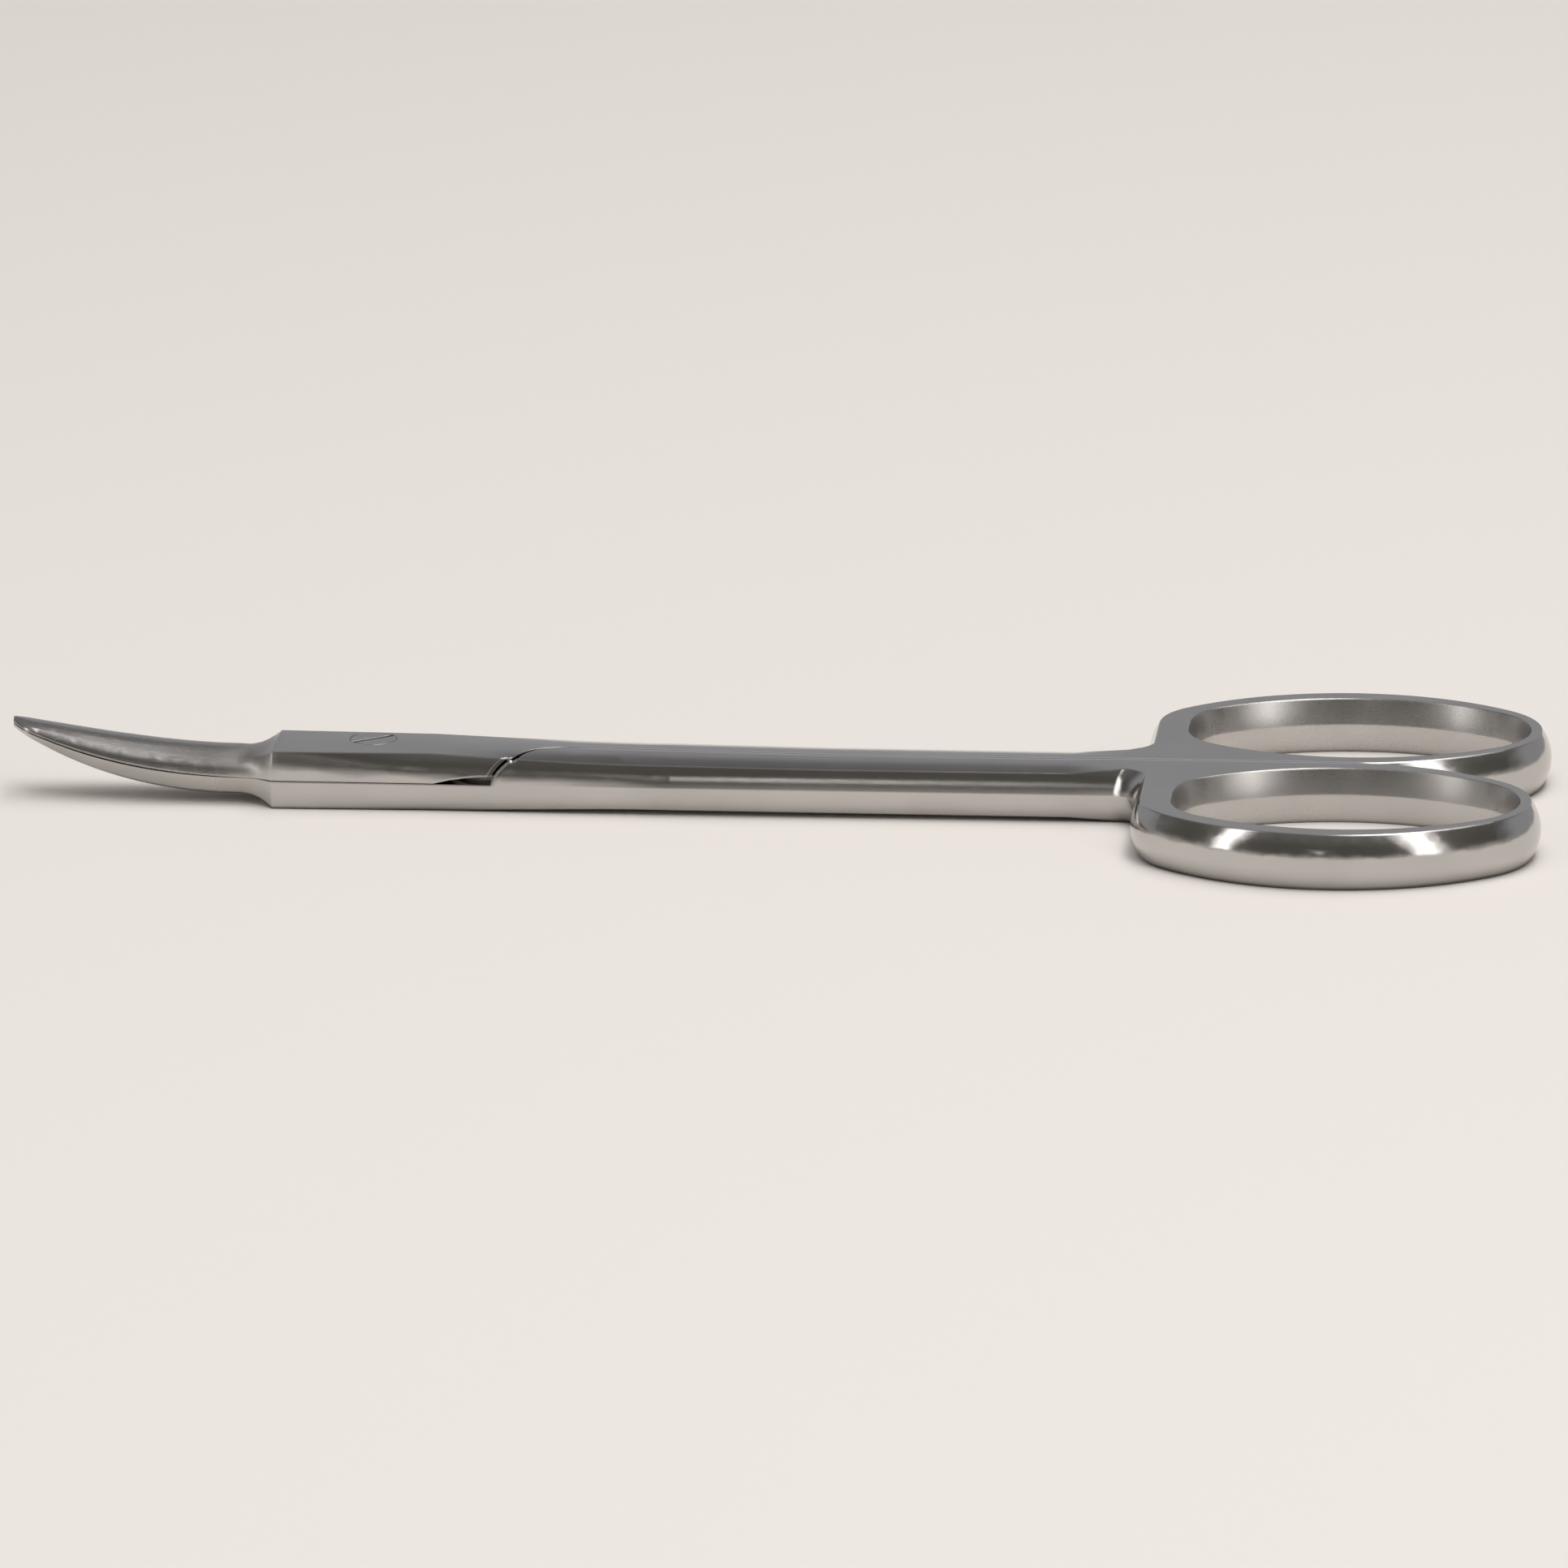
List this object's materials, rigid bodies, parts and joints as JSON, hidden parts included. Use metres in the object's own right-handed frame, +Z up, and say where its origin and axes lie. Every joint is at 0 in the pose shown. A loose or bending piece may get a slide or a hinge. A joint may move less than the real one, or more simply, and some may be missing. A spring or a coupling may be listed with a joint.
{
  "type": "crown scissors",
  "caption": "Slender surgical scissors with short upward-curved blades, a screwed lap joint, long straight shanks and oval finger rings, closed and lying flat.",
  "frame": {"origin": "centre of the closed scissors' bounding box, on the plane they rest on", "axes": "+X from the blade tips to the finger rings, +Y towards the upper half's finger ring, +Z up, the way the blades curve"},
  "size_m": [0.12, 0.0428, 0.0063],
  "materials": {
    "steel": "satin polished",
    "screw_steel": "satin"
  },
  "bodies": {
    "lower": {"lower_half": "steel", "pivot_screw": "screw_steel"},
    "upper": {"upper_half": "steel"}
  },
  "joints": [
    {"name": "pivot", "type": "hinge", "parent": "lower", "child": "upper", "pos_m": [-0.0318, 0.001, 0.0024], "axis": [0, 0, 1], "range_deg": [0, 130]}
  ]
}
